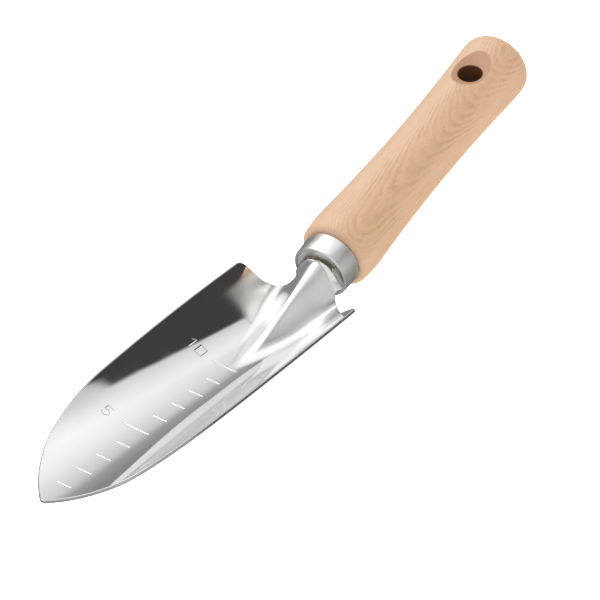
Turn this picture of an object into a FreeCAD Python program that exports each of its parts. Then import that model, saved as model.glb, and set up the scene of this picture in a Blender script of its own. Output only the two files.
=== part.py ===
import FreeCAD, Part
import math
import os

import Sketcher

# Hand trowel: a pressed steel blade whose neck and tang run into a turned wooden handle.
# The row's origin is the centre of the hang hole: +X runs along the handle axis to the butt
# and +Z leaves the hang hole on the side that the blade is hollow. Each shape is drawn from
# the ferrule mouth (X = 0) and its Placement then moves it to that origin.

PARTS_FOLDER = "parts"

DIMENSIONS = {
    # turned handle
    "handle_end_x": 126.4,
    "shoulder_x": 8.3,
    "shoulder_corner_radius": 2.2,
    "spigot_front_x": 3.6,
    "spigot_radius": 9.3,
    "grip_swell_x": 17.0,
    "grip_swell_radius": 13.35,
    "grip_swell_curve": 55.0,
    "waist_x": 68.0,
    "waist_radius": 11.85,
    "butt_swell_x": 117.0,
    "butt_swell_radius": 13.2,
    "butt_corner_radius": 5.0,
    "butt_cap_radius": 20.0,
    "tang_bore_radius": 5.5,
    "tang_bore_end_x": 62.0,
    # hang hole through the handle
    "hang_hole_x": 102.3,
    "hang_hole_radius": 4.4,
    "hang_hole_half_length": 10.0,
    "countersink_reach": 4.0,
    "countersink_half_angle": 60.0,
    # steel ferrule
    "ferrule_length": 8.2,
    "ferrule_mouth_radius": 10.35,
    "ferrule_rear_radius": 10.75,
    "ferrule_wall": 1.0,
    "ferrule_rim_fillet": 0.8,
    "ferrule_hole_radius": 5.7,
    "ferrule_dish_depth": 1.9,
    # resin around the tang
    "bedding_radius": 5.4,
    "bedding_front_x": 3.0,
    "bedding_end_x": 61.5,
    # form of the pressed sheet
    "sheet_thickness": 1.2,
    "pan_height_x": -54.8,
    "pan_height": 3.9,
    "pan_slope": 0.35,
    "pan_bow": 0.0001,
    "floor_curvature": 0.0386,
    "floor_easing": 0.0085,
    "floor_easing_x": -80.0,
    "floor_easing_run": 65.0,
    "wall_slope": 1.0,
    "wall_foot_x": -14.0,
    "wall_foot_half_width": 5.85,
    "wall_foot_spread": 0.0605,
    "wall_blend": 3.0,
    "crest_height": 6.7,
    "crest_slope": 0.17,
    "crest_radius": 1.9,
    "rib_wall_slope": 1.4,
    "neck_wall_slope": 2.8,
    "neck_rounding": 7.5,
    "neck_blend_start_x": -20.0,
    "neck_blend_end_x": -4.0,
    "valley_blend": 7.0,
    "neck_valley_blend": 13.0,
    "neck_valley_start_x": -30.0,
    "neck_valley_end_x": -8.0,
    "tang_step_start_x": -1.8,
    "tang_step_end_x": 2.4,
    "tang_crest_height": 4.9,
    # outline of the sheet, seen along Z
    "side_start_x": -16.0,
    "side_half_width": 22.95,
    "side_arc_radius": 1500.0,
    "side_start_angle": -0.0065,
    "side_end_angle": 0.0436,
    "cheek_arc_radius": 153.0,
    "cheek_end_angle": 0.24,
    "nose_arc_radius": 60.0,
    "back_corner_x": -15.4,
    "back_corner_radius": 2.8,
    "back_edge_angle": 1.36,
    "back_slant_angle": 0.785,
    "back_bend_x": -8.82,
    "back_bend_y": 17.1,
    "back_bend_radius": 3.0,
    "neck_fillet_radius": 5.0,
    "neck_half_width": 8.1,
    "neck_front_x": -2.0,
    "neck_end_x": -1.0,
    "tang_half_width": 4.1,
    "tang_end_x": 55.0,
    # stamped depth scale
    "scale_deepest_x": -54.8,
    "scale_pitch": 10.0,
    "scale_depth": 0.25,
    "tick_width": 0.45,
    "tick_right_end": 2.5,
    "tick_short_end": 2.5,
    "tick_long_end": 7.2,
}

# The sheet form is worked out on a grid that is fine where the rib and the neck curve.
GRID_X = ((-155.0, -58.0, 26), (-56.0, -8.0, 32), (-7.0, 4.0, 16), (8.0, 60.0, 8))
GRID_Y = ((0.5, 13.5, 16), (15.0, 26.0, 8))
SLOPE_STEP = 0.01
BLANK_HALF_HEIGHT = 80.0
TICK_COUNT = 10
LONG_TICK_EVERY = 5


def make_sheet(doc):
    """Spreadsheet that holds every driving dimension under a word alias."""
    sheet = doc.addObject("Spreadsheet::Sheet", "dims")
    for row, (alias, value) in enumerate(DIMENSIONS.items(), start=1):
        sheet.set("A%d" % row, alias)
        sheet.set("B%d" % row, str(value))
        sheet.setAlias("B%d" % row, alias)
    doc.recompute()
    return sheet


def row_shift(size):
    """Placement that moves a shape from the ferrule mouth to the row's origin."""
    return FreeCAD.Placement(FreeCAD.Vector(-size["hang_hole_x"], 0, 0), FreeCAD.Rotation())


# ---------------------------------------------------------------- sketch helpers


def new_sketch(body, name, role):
    """Sketch on one of the body's own origin planes."""
    plane = [feature for feature in body.Origin.OriginFeatures if feature.Role == role][0]
    sketch = body.newObject("Sketcher::SketchObject", name)
    sketch.AttachmentSupport = [(plane, "")]
    sketch.MapMode = "FlatFace"
    return sketch


def bind(sketch, kind, where, value, expression):
    """Add one dimension to a sketch and bind it to the spreadsheet."""
    index = sketch.addConstraint(Sketcher.Constraint(kind, *where, value))
    sketch.setExpression("Constraints[%d]" % index, expression)


def pinned_outline(sketch, corners):
    """Closed polygon whose corners are pinned by a pair of expressions each."""
    count = len(corners)
    start = [
        FreeCAD.Vector(math.cos(2 * math.pi * i / count), math.sin(2 * math.pi * i / count), 0)
        for i in range(count)
    ]
    for i in range(count):
        sketch.addGeometry(Part.LineSegment(start[i], start[(i + 1) % count]), False)
    for i in range(count):
        sketch.addConstraint(Sketcher.Constraint("Coincident", i, 2, (i + 1) % count, 1))
    for i, (along, across) in enumerate(corners):
        pin(sketch, "DistanceX", i, along, -2)
        pin(sketch, "DistanceY", i, across, -1)


def pin(sketch, kind, line, expression, zero_axis):
    """Pin the start of a line in one direction, on the axis itself where the place is zero."""
    if expression == "0":
        sketch.addConstraint(Sketcher.Constraint("PointOnObject", line, 1, zero_axis))
    else:
        bind(sketch, kind, (-1, 1, line, 1), 1.0, expression)


def arc(centre, radius, first, last):
    """Arc drawn anticlockwise between two points that lie on it."""
    circle = Part.Circle(FreeCAD.Vector(centre[0], centre[1], 0), FreeCAD.Vector(0, 0, 1), radius)
    angles = [math.atan2(p[1] - centre[1], p[0] - centre[0]) for p in (first, last)]
    if angles[1] < angles[0]:
        angles[1] += 2 * math.pi
    return Part.ArcOfCircle(circle, angles[0], angles[1])


def towards(start, end, distance):
    """Point at a distance from start on the line to end; a negative distance lies behind it."""
    length = math.hypot(end[0] - start[0], end[1] - start[1])
    return (
        start[0] + (end[0] - start[0]) * distance / length,
        start[1] + (end[1] - start[1]) * distance / length,
    )


def revolve(body, name, sketch, axis, kind="PartDesign::Revolution"):
    """Turn a profile a full circle, to add material or (as a groove) to cut it."""
    feature = body.newObject(kind, name)
    feature.Profile = sketch
    feature.ReferenceAxis = (sketch, [axis])
    feature.Angle = 360
    return feature


def check_cut(doc, feature, before):
    """A cut that points away from the solid changes nothing, so compare the volumes."""
    doc.recompute()
    if feature.Shape.Volume >= before - 1.0:
        raise RuntimeError("%s cuts nothing" % feature.Name)


# ---------------------------------------------------------------- handle


def handle_profile(sketch, size):
    """Half section of the turned wood: spigot, shoulder, swell, waist, butt swell and cap."""
    swell = (size["grip_swell_x"], size["grip_swell_radius"] - size["grip_swell_curve"])
    corner_radius = size["shoulder_corner_radius"]
    corner_x = size["shoulder_x"] + corner_radius
    corner_reach = size["grip_swell_curve"] - corner_radius
    corner = (corner_x, swell[1] + math.sqrt(corner_reach**2 - (corner_x - swell[0]) ** 2))

    run = size["waist_x"] - size["grip_swell_x"]
    rise = size["grip_swell_curve"] - size["grip_swell_radius"] + size["waist_radius"]
    waist_curve = (run**2 + rise**2 - size["grip_swell_curve"] ** 2) / (
        2 * (size["grip_swell_curve"] - rise)
    )
    waist = (size["waist_x"], size["waist_radius"] + waist_curve)

    butt_run = size["butt_swell_x"] - size["waist_x"]
    butt_rise = size["butt_swell_radius"] - size["waist_radius"]
    butt_curve = (butt_run**2 + (waist_curve - butt_rise) ** 2 - waist_curve**2) / (2 * butt_rise)
    butt = (size["butt_swell_x"], size["butt_swell_radius"] - butt_curve)

    cap = (size["handle_end_x"] - size["butt_cap_radius"], 0.0)
    edge = butt_corner_centre(butt, butt_curve, cap, size)

    joints = [
        (size["shoulder_x"], corner[1]),
        towards(swell, corner, size["grip_swell_curve"]),
        towards(swell, waist, size["grip_swell_curve"]),
        towards(butt, waist, butt_curve),
        towards(butt, edge, butt_curve),
        towards(cap, edge, size["butt_cap_radius"]),
        (size["handle_end_x"], 0.0),
    ]
    front = size["spigot_front_x"]
    path = [(front, 0.0), (front, size["spigot_radius"])]
    path.append((size["shoulder_x"], size["spigot_radius"]))
    path.append(joints[0])
    for first, last in zip(path, path[1:]):
        sketch.addGeometry(Part.LineSegment(FreeCAD.Vector(*first), FreeCAD.Vector(*last)), False)
    sketch.addGeometry(arc(corner, corner_radius, joints[1], joints[0]), False)
    sketch.addGeometry(arc(swell, size["grip_swell_curve"], joints[2], joints[1]), False)
    sketch.addGeometry(arc(waist, waist_curve, joints[2], joints[3]), False)
    sketch.addGeometry(arc(butt, butt_curve, joints[4], joints[3]), False)
    sketch.addGeometry(arc(edge, size["butt_corner_radius"], joints[5], joints[4]), False)
    sketch.addGeometry(arc(cap, size["butt_cap_radius"], joints[6], joints[5]), False)
    axis = Part.LineSegment(FreeCAD.Vector(*joints[6]), FreeCAD.Vector(*path[0]))
    sketch.addGeometry(axis, False)
    constrain_handle(sketch, waist_curve, butt_curve, size)


def butt_corner_centre(butt, butt_curve, cap, size):
    """Centre of the corner arc that touches both the butt swell and the end cap from inside."""
    near = butt_curve - size["butt_corner_radius"]
    far = size["butt_cap_radius"] - size["butt_corner_radius"]
    gap = math.hypot(cap[0] - butt[0], cap[1] - butt[1])
    along = (near**2 - far**2 + gap**2) / (2 * gap)
    aside = math.sqrt(near**2 - along**2)
    unit = ((cap[0] - butt[0]) / gap, (cap[1] - butt[1]) / gap)
    return (butt[0] + unit[0] * along + unit[1] * aside, butt[1] + unit[1] * along - unit[0] * aside)


def constrain_handle(sketch, waist_curve, butt_curve, size):
    """Tie the handle's half section together and bind its sizes to the spreadsheet."""
    front, spigot, face, corner, swell, waist, butt, edge, cap, axis = range(10)
    rules = [
        ("Coincident", front, 2, spigot, 1),
        ("Coincident", spigot, 2, face, 1),
        ("Tangent", face, 2, corner, 2),
        ("Tangent", corner, 1, swell, 2),
        ("Tangent", swell, 1, waist, 1),
        ("Tangent", waist, 2, butt, 2),
        ("Tangent", butt, 1, edge, 2),
        ("Tangent", edge, 1, cap, 2),
        ("Coincident", cap, 1, axis, 1),
        ("Coincident", axis, 2, front, 1),
        ("Vertical", front),
        ("Horizontal", spigot),
        ("Vertical", face),
        ("PointOnObject", front, 1, -1),
        ("PointOnObject", cap, 1, -1),
        ("PointOnObject", cap, 3, -1),
    ]
    for rule in rules:
        sketch.addConstraint(Sketcher.Constraint(*rule))
    swell_rise = "(dims.grip_swell_curve - dims.grip_swell_radius + dims.waist_radius)"
    waist_text = (
        "((dims.waist_x - dims.grip_swell_x)^2 + %s^2 - dims.grip_swell_curve^2)"
        " / (2 * (dims.grip_swell_curve - %s))" % (swell_rise, swell_rise)
    )
    butt_rise = "(dims.butt_swell_radius - dims.waist_radius)"
    butt_text = (
        "((dims.butt_swell_x - dims.waist_x)^2 + (%s - %s)^2 - (%s)^2) / (2 * %s)"
        % (waist_text, butt_rise, waist_text, butt_rise)
    )
    bind(sketch, "DistanceX", (-1, 1, front, 1), size["spigot_front_x"], "dims.spigot_front_x")
    bind(sketch, "DistanceY", (-1, 1, spigot, 1), size["spigot_radius"], "dims.spigot_radius")
    bind(sketch, "DistanceX", (-1, 1, face, 1), size["shoulder_x"], "dims.shoulder_x")
    bind(sketch, "Radius", (corner,), size["shoulder_corner_radius"], "dims.shoulder_corner_radius")
    bind(sketch, "Radius", (swell,), size["grip_swell_curve"], "dims.grip_swell_curve")
    bind(sketch, "DistanceX", (-1, 1, swell, 3), size["grip_swell_x"], "dims.grip_swell_x")
    swell_drop = size["grip_swell_curve"] - size["grip_swell_radius"]
    swell_text = "dims.grip_swell_curve - dims.grip_swell_radius"
    bind(sketch, "DistanceY", (swell, 3, -1, 1), swell_drop, swell_text)
    bind(sketch, "Radius", (waist,), waist_curve, waist_text)
    bind(sketch, "DistanceX", (-1, 1, waist, 3), size["waist_x"], "dims.waist_x")
    bind(sketch, "Radius", (butt,), butt_curve, butt_text)
    bind(sketch, "DistanceX", (-1, 1, butt, 3), size["butt_swell_x"], "dims.butt_swell_x")
    bind(sketch, "Radius", (edge,), size["butt_corner_radius"], "dims.butt_corner_radius")
    bind(sketch, "Radius", (cap,), size["butt_cap_radius"], "dims.butt_cap_radius")
    bind(sketch, "DistanceX", (-1, 1, cap, 1), size["handle_end_x"], "dims.handle_end_x")


def make_handle(doc, size):
    """Turned beech handle, bored for the tang and drilled through for hanging."""
    body = doc.addObject("PartDesign::Body", "handle")
    profile = new_sketch(body, "handle_profile", "XY_Plane")
    handle_profile(profile, size)
    turned = revolve(body, "turned_wood", profile, "H_Axis")
    doc.recompute()
    volume = turned.Shape.Volume

    bore = new_sketch(body, "tang_bore_circle", "YZ_Plane")
    circle = Part.Circle(FreeCAD.Vector(0, 0, 0), FreeCAD.Vector(0, 0, 1), 5)
    bore.addGeometry(circle, False)
    bore.addConstraint(Sketcher.Constraint("Coincident", 0, 3, -1, 1))
    bind(bore, "Radius", (0,), size["tang_bore_radius"], "dims.tang_bore_radius")
    tang_bore = body.newObject("PartDesign::Pocket", "tang_bore")
    tang_bore.Profile = bore
    tang_bore.Reversed = True
    tang_bore.setExpression("Length", "dims.tang_bore_end_x")
    check_cut(doc, tang_bore, volume)
    volume = tang_bore.Shape.Volume

    spool = new_sketch(body, "hang_hole_section", "XZ_Plane")
    centre = "dims.hang_hole_x"
    wall = "dims.hang_hole_x + dims.hang_hole_radius"
    rim = wall + " + dims.countersink_reach * tan(dims.countersink_half_angle * 1 deg)"
    top = "dims.hang_hole_half_length + dims.countersink_reach"
    corners = [
        (centre, "-(%s)" % top),
        (rim, "-(%s)" % top),
        (wall, "-dims.hang_hole_half_length"),
        (wall, "dims.hang_hole_half_length"),
        (rim, top),
        (centre, top),
    ]
    pinned_outline(spool, corners)
    hole_axis = Part.LineSegment(FreeCAD.Vector(1, -1, 0), FreeCAD.Vector(1, 1, 0))
    line = spool.addGeometry(hole_axis, True)
    spool.addConstraint(Sketcher.Constraint("Coincident", line, 1, 0, 1))
    spool.addConstraint(Sketcher.Constraint("Coincident", line, 2, 5, 1))
    hang_hole = revolve(body, "hang_hole", spool, "Axis0", "PartDesign::Groove")
    check_cut(doc, hang_hole, volume)
    return body


# ---------------------------------------------------------------- ferrule


def make_ferrule(doc, size):
    """Steel collar over the spigot, with a dished end that closes in around the tang."""
    body = doc.addObject("PartDesign::Body", "ferrule")
    section = new_sketch(body, "ferrule_section", "XY_Plane")
    wall = "dims.ferrule_wall"
    corners = [
        ("dims.ferrule_length", "dims.ferrule_rear_radius"),
        ("0", "dims.ferrule_mouth_radius"),
        ("0", "dims.ferrule_mouth_radius - %s" % wall),
        ("dims.ferrule_dish_depth", "dims.ferrule_hole_radius"),
        ("dims.ferrule_dish_depth + %s" % wall, "dims.ferrule_hole_radius"),
        (wall + " * 1.3", "dims.ferrule_mouth_radius - %s" % wall),
        ("dims.ferrule_length", "dims.ferrule_rear_radius - %s" % wall),
    ]
    pinned_outline(section, corners)
    collar = revolve(body, "spun_collar", section, "H_Axis")
    doc.recompute()
    rim = body.newObject("PartDesign::Fillet", "rolled_rim")
    rim.Base = (collar, circle_edges(collar.Shape, 0.0, size["ferrule_mouth_radius"]))
    rim.setExpression("Radius", "dims.ferrule_rim_fillet")
    doc.recompute()
    return body


def circle_edges(shape, x, radius):
    """Names of the round edges about the X axis at one station and radius."""
    names = []
    for index, edge in enumerate(shape.Edges, start=1):
        curve = edge.Curve
        if not hasattr(curve, "Radius"):
            continue
        if abs(curve.Center.x - x) < 0.01 and abs(curve.Radius - radius) < 0.01:
            names.append("Edge%d" % index)
    return names


# ---------------------------------------------------------------- pressed sheet


def smooth_step(value):
    """Rise from 0 to 1 with level ends."""
    value = min(max(value, 0.0), 1.0)
    return value * value * (3 - 2 * value)


def blended_max(first, second, width):
    """The higher of two heights, with the corner between them filled."""
    overlap = max(width - abs(first - second), 0.0)
    return max(first, second) + overlap**2 / (4 * width)


def pan_height(size, x, y):
    """Height of the pan: a shallow round floor between straight walls, climbing to the tip."""
    run = size["pan_height_x"] - x
    climb = size["pan_height"] + size["pan_slope"] * run + size["pan_bow"] * run * run
    easing = smooth_step((size["floor_easing_x"] - x) / size["floor_easing_run"])
    curvature = size["floor_curvature"] - size["floor_easing"] * easing
    foot = size["wall_foot_half_width"] + size["wall_foot_spread"] * (size["wall_foot_x"] - x)
    wall = size["wall_slope"] * (abs(y) - foot)
    return climb + blended_max(curvature * y**2 / 2, wall, size["wall_blend"])


def rib_height(size, x, y):
    """Height of the raised rib, which rounds into the neck and then drops to the tang."""
    step_run = size["tang_step_end_x"] - size["tang_step_start_x"]
    tang = smooth_step((x - size["tang_step_start_x"]) / step_run)
    crest = size["crest_height"] + size["crest_slope"] * x
    crest += (size["tang_crest_height"] - crest) * tang
    blend_run = size["neck_blend_end_x"] - size["neck_blend_start_x"]
    neck = smooth_step((x - size["neck_blend_start_x"]) / blend_run)
    return crest - ridge_drop(size, y) * (1 - neck) - neck_drop(size, y) * neck


def ridge_drop(size, y):
    """Fall of the narrow ridge beside its crest: a round top between two straight walls."""
    radius = size["crest_radius"]
    lean = math.atan(size["rib_wall_slope"])
    round_half_width = radius * math.sin(lean)
    if abs(y) < round_half_width:
        return radius - math.sqrt(radius**2 - y**2)
    return radius * (1 - math.cos(lean)) + size["rib_wall_slope"] * (abs(y) - round_half_width)


def neck_drop(size, y):
    """Fall of the arched neck beside its crest: rounder than the ridge, with steeper feet."""
    rounding = size["neck_rounding"]
    return size["neck_wall_slope"] * (math.hypot(y, rounding) - rounding)


def sheet_height(size, x, y):
    """Upper face of the sheet: the higher of pan and rib, with the valley between them filled."""
    run = size["neck_valley_end_x"] - size["neck_valley_start_x"]
    widening = smooth_step((x - size["neck_valley_start_x"]) / run)
    blend = size["valley_blend"] + (size["neck_valley_blend"] - size["valley_blend"]) * widening
    return blended_max(pan_height(size, x, y), rib_height(size, x, y), blend)


def sheet_point(size, x, y, depth):
    """Point at a depth below the upper face, measured square to it."""
    along = sheet_height(size, x + SLOPE_STEP, y) - sheet_height(size, x - SLOPE_STEP, y)
    across = sheet_height(size, x, y + SLOPE_STEP) - sheet_height(size, x, y - SLOPE_STEP)
    normal = FreeCAD.Vector(-along, -across, 2 * SLOPE_STEP)
    normal.normalize()
    return FreeCAD.Vector(x, y, sheet_height(size, x, y)) - normal * depth


def spread(ranges):
    """Stations of several (first, last, count) ranges, one after the other."""
    stations = []
    for first, last, count in ranges:
        stations += [first + (last - first) * i / (count - 1) for i in range(count)]
    return stations


def formed_face(size, depth):
    """Smooth face through the sheet form at one depth."""
    half = spread(GRID_Y)
    across = [-y for y in reversed(half)] + half
    grid = [[sheet_point(size, x, y, depth) for y in across] for x in spread(GRID_X)]
    surface = Part.BSplineSurface()
    surface.interpolate(grid)
    return surface.toShape()


def formed_slab(size, upper, lower):
    """Solid between two depths of the sheet form."""
    faces = [formed_face(size, upper), formed_face(size, lower)]
    for first, second in zip(faces[0].Edges, faces[1].Edges):
        faces.append(Part.makeRuledSurface(first, second))
    shell = Part.makeShell(faces)
    shell.sewShape()
    solid = Part.makeSolid(shell)
    if solid.Volume < 0:
        solid.reverse()
    return solid


def side_point(start, radius, first_angle, last_angle):
    """Point reached by following an arc of the outline towards the tip."""
    return (
        start[0] - radius * (math.sin(last_angle) - math.sin(first_angle)),
        start[1] - radius * (math.cos(first_angle) - math.cos(last_angle)),
    )


def half_outline(size):
    """One side of the sheet outline, from the tang's end to the tip, as lines and arcs."""
    turn = size["back_edge_angle"]
    slant = size["back_slant_angle"]
    side = (size["side_start_x"], size["side_half_width"])
    corner = (size["back_corner_x"], size["side_half_width"])
    neck = (size["neck_front_x"], size["neck_half_width"])
    fillet = size["neck_fillet_radius"]
    neck_centre = (neck[0], neck[1] + fillet)
    neck_bend = [hollow_bend(neck_centre, fillet, slant * share) for share in (0.5, 1.0)]
    back_centre = (size["back_bend_x"], size["back_bend_y"])
    back_turns = (slant, (slant + turn) / 2, turn)
    back_bend = [hollow_bend(back_centre, size["back_bend_radius"], angle) for angle in back_turns]
    corner_radius = size["back_corner_radius"]
    corner_bend = [outer_corner(corner, corner_radius, turn * share) for share in (1.0, 0.5)]
    pieces = [
        [(size["tang_end_x"], size["tang_half_width"]), (size["neck_end_x"], size["tang_half_width"])],
        [(size["neck_end_x"], size["neck_half_width"])],
        [neck],
        neck_bend,
        [back_bend[0]],
        back_bend[1:],
        [corner_bend[0]],
        [corner_bend[1], corner],
        [side],
    ]
    nose_start = size["cheek_end_angle"]
    point = side
    angle = size["side_start_angle"]
    arcs = ((size["side_arc_radius"], size["side_end_angle"]), (size["cheek_arc_radius"], nose_start))
    for radius, last in arcs:
        middle = side_point(point, radius, angle, (angle + last) / 2)
        point = side_point(point, radius, angle, last)
        pieces.append([middle, point])
        angle = last
    nose_radius = size["nose_arc_radius"]
    nose_end = math.acos(math.cos(angle) - point[1] / nose_radius)
    middle = side_point(point, nose_radius, angle, (angle + nose_end) / 2)
    pieces.append([middle, side_point(point, nose_radius, angle, nose_end)])
    return pieces


def hollow_bend(centre, radius, turn):
    """Point on an inside bend of the outline, where its direction has turned by an angle."""
    return (centre[0] - radius * math.sin(turn), centre[1] - radius * math.cos(turn))


def outer_corner(end, radius, turn):
    """Point on the outside bend where the back edge rounds into the long side."""
    return (end[0] + radius * math.sin(turn), end[1] - radius * (1 - math.cos(turn)))


def outline_edges(size, side):
    """Edges of one half of the outline; side is 1 or -1."""
    edges = []
    last = None
    for piece in half_outline(size):
        points = [FreeCAD.Vector(x, y * side, -BLANK_HALF_HEIGHT) for x, y in piece]
        if last is None:
            last = points.pop(0)
        if len(points) == 2:
            edges.append(Part.Arc(last, points[0], points[1]).toShape())
        else:
            edges.append(Part.makeLine(last, points[0]))
        last = points[-1]
    return edges


def blank_prism(size):
    """The flat outline of the sheet, drawn tall enough to cut the formed slab."""
    left = outline_edges(size, 1)
    right = outline_edges(size, -1)
    tang_end = Part.makeLine(left[0].Vertexes[0].Point, right[0].Vertexes[0].Point)
    wire = Part.Wire(Part.__sortEdges__(left + right + [tang_end]))
    return Part.Face(wire).extrude(FreeCAD.Vector(0, 0, 2 * BLANK_HALF_HEIGHT))


def tick_prisms(size):
    """Tall narrow blocks over the marks of the depth scale, one each centimetre of blade."""
    blocks = []
    pitch_x = size["scale_pitch"] / math.hypot(1.0, size["pan_slope"])
    for index in range(TICK_COUNT):
        long_tick = index % LONG_TICK_EVERY == 0
        left = size["tick_long_end"] if long_tick else size["tick_short_end"]
        corner = FreeCAD.Vector(
            size["scale_deepest_x"] - index * pitch_x - size["tick_width"] / 2,
            -size["tick_right_end"],
            -BLANK_HALF_HEIGHT,
        )
        width = left + size["tick_right_end"]
        blocks.append(Part.makeBox(size["tick_width"], width, 2 * BLANK_HALF_HEIGHT, corner))
    return Part.makeCompound(blocks)


def make_blade(doc, size):
    """Pressed sheet: pan, rib, neck and tang in one piece, stamped with a depth scale."""
    blank = blank_prism(size)
    sheet = formed_slab(size, 0.0, size["sheet_thickness"]).common(blank)
    stamp_depth = formed_slab(size, -size["sheet_thickness"], size["scale_depth"])
    marks = tick_prisms(size).common(stamp_depth)
    feature = doc.addObject("Part::Feature", "blade")
    feature.Shape = sheet.cut(marks).removeSplitter()
    feature.Placement = row_shift(size)
    return feature


# ---------------------------------------------------------------- tang bedding


def make_bedding(doc, size, blade):
    """Resin that fills the bore around the tang: a cylinder with the tang taken out."""
    plug = doc.addObject("Part::Cylinder", "bedding_plug")
    plug.setExpression("Radius", "dims.bedding_radius")
    plug.setExpression("Height", "dims.bedding_end_x - dims.bedding_front_x")
    plug.Placement.Rotation = FreeCAD.Rotation(FreeCAD.Vector(0, 0, 1), FreeCAD.Vector(1, 0, 0))
    plug.setExpression(".Placement.Base.x", "dims.bedding_front_x - dims.hang_hole_x")
    bedding = doc.addObject("Part::Cut", "tang_bedding")
    bedding.Base = plug
    bedding.Tool = blade
    return bedding


# ---------------------------------------------------------------- document


def check_document(doc, sub_parts):
    """Stop on any failed object or on a sub-part that is not one valid closed shape."""
    for item in doc.Objects:
        if "Invalid" in item.State or "Error" in item.State:
            raise RuntimeError("%s failed: %s" % (item.Name, item.State))
    for item in sub_parts:
        if item.Shape.isNull() or not item.Shape.isValid():
            raise RuntimeError("%s has no valid shape" % item.Label)


def main():
    doc = FreeCAD.newDocument("hand_trowel")
    sheet = make_sheet(doc)
    size = {alias: float(sheet.get(alias)) for alias in DIMENSIONS}
    blade = make_blade(doc, size)
    ferrule = make_ferrule(doc, size)
    handle = make_handle(doc, size)
    bedding = make_bedding(doc, size, blade)
    for body in (ferrule, handle):
        body.Placement = row_shift(size)
    sub_parts = {"blade": blade, "ferrule": ferrule, "handle": handle, "tang_bedding": bedding}
    for label, item in sub_parts.items():
        item.Label = label
    doc.recompute()
    check_document(doc, sub_parts.values())
    os.makedirs(PARTS_FOLDER, exist_ok=True)
    for label, item in sub_parts.items():
        item.Shape.exportStep("%s/%s.step" % (PARTS_FOLDER, label))
        box = item.Shape.BoundBox
        print(label, len(item.Shape.Solids), round(item.Shape.Volume), box)


main()
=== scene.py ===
import math

import bpy
import numpy as np
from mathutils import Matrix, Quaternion, Vector


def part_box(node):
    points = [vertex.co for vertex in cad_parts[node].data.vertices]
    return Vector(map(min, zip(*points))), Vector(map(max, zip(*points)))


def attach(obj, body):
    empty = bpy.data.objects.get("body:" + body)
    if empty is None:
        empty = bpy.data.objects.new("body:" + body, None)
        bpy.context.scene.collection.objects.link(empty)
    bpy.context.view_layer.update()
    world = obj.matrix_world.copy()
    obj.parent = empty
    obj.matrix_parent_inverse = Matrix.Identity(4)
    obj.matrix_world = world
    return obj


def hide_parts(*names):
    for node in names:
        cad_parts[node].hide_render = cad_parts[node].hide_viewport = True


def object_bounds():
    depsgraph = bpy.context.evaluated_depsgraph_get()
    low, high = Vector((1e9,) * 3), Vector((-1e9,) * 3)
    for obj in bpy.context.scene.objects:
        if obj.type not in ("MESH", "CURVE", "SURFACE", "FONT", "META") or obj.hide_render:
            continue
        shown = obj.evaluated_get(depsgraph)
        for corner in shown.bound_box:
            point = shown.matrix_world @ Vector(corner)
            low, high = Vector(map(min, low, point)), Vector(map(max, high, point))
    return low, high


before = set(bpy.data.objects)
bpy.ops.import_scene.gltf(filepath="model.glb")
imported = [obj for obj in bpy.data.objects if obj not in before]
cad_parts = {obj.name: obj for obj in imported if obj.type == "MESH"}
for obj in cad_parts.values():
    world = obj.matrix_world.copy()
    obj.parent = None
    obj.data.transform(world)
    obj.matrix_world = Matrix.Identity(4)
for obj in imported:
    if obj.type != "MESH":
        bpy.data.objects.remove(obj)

# Looks of the hand trowel. The blade and the ferrule are rebuilt as finer meshes than the CAD
# nodes, the handle and the resin keep their CAD meshes, and every piece has a node material.
# Shapes are worked out in millimetres from the ferrule mouth and then moved into the row frame.

CAD_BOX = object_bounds()
MM = 0.001
MOUTH_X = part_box("ferrule")[0].x
FLOOR_Z = CAD_BOX[0].z

# form of the pressed sheet
SHEET_THICKNESS = 1.2
PAN_X, PAN_HEIGHT, PAN_SLOPE, PAN_BOW = -54.8, 3.9, 0.35, 0.0001
HOLLOW_CURVE, HOLLOW_EASING, EASING_START, EASING_RUN = 0.0386, 0.0085, -80.0, 65.0
WALL_SLOPE, WALL_X, WALL_FOOT, WALL_SPREAD, WALL_BLEND = 1.0, -14.0, 5.85, 0.0605, 3.0
CREST_HEIGHT, CREST_SLOPE, CREST_RADIUS = 6.7, 0.17, 1.9
RIB_WALL, NECK_WALL, NECK_ROUNDING = 1.4, 2.8, 7.5
NECK_BLEND_START, NECK_BLEND_END = -20.0, -4.0
VALLEY_BLEND, NECK_VALLEY_BLEND, VALLEY_START, VALLEY_END = 7.0, 13.0, -30.0, -8.0
TANG_STEP_START, TANG_STEP_END, TANG_HEIGHT = -1.8, 2.4, 4.9
LIP_END, LIP_DEPTH, LIP_LEAST_DEPTH, LIP_CURL = -1.0, 2.4, 0.3, 1.5
LIP_FLARE, LIP_FULL_Y = 1.6, 3.0
NORMAL_STEP = 0.01

# outline of the sheet
SIDE_START = (-16.0, 22.95)
SIDE_ARCS = ((1500.0, -0.0065, 0.0436), (153.0, 0.0436, 0.24))
NOSE_RADIUS, TIP_RADIUS = 60.0, 1.6
CORNER_X, CORNER_RADIUS = -15.4, 2.8
BACK_ANGLE, SLANT_ANGLE = 1.36, 0.785
BEND_CENTRE, BEND_RADIUS, NECK_FILLET = (-8.82, 17.1), 3.0, 5.0
NECK_X, NECK_END_X, NECK_HALF_WIDTH = -2.0, -1.0, 8.1
TANG_HALF_WIDTH, TANG_END_X = 4.1, 55.0
TANG_SHARE = TANG_HALF_WIDTH / NECK_HALF_WIDTH
EDGE_ROUNDING, EDGE_INSET = 0.38, 0.285
CORNER_POINTS, BEND_POINTS, SIDE_POINTS, NOSE_POINTS = 14, 12, 24, 30

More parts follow.
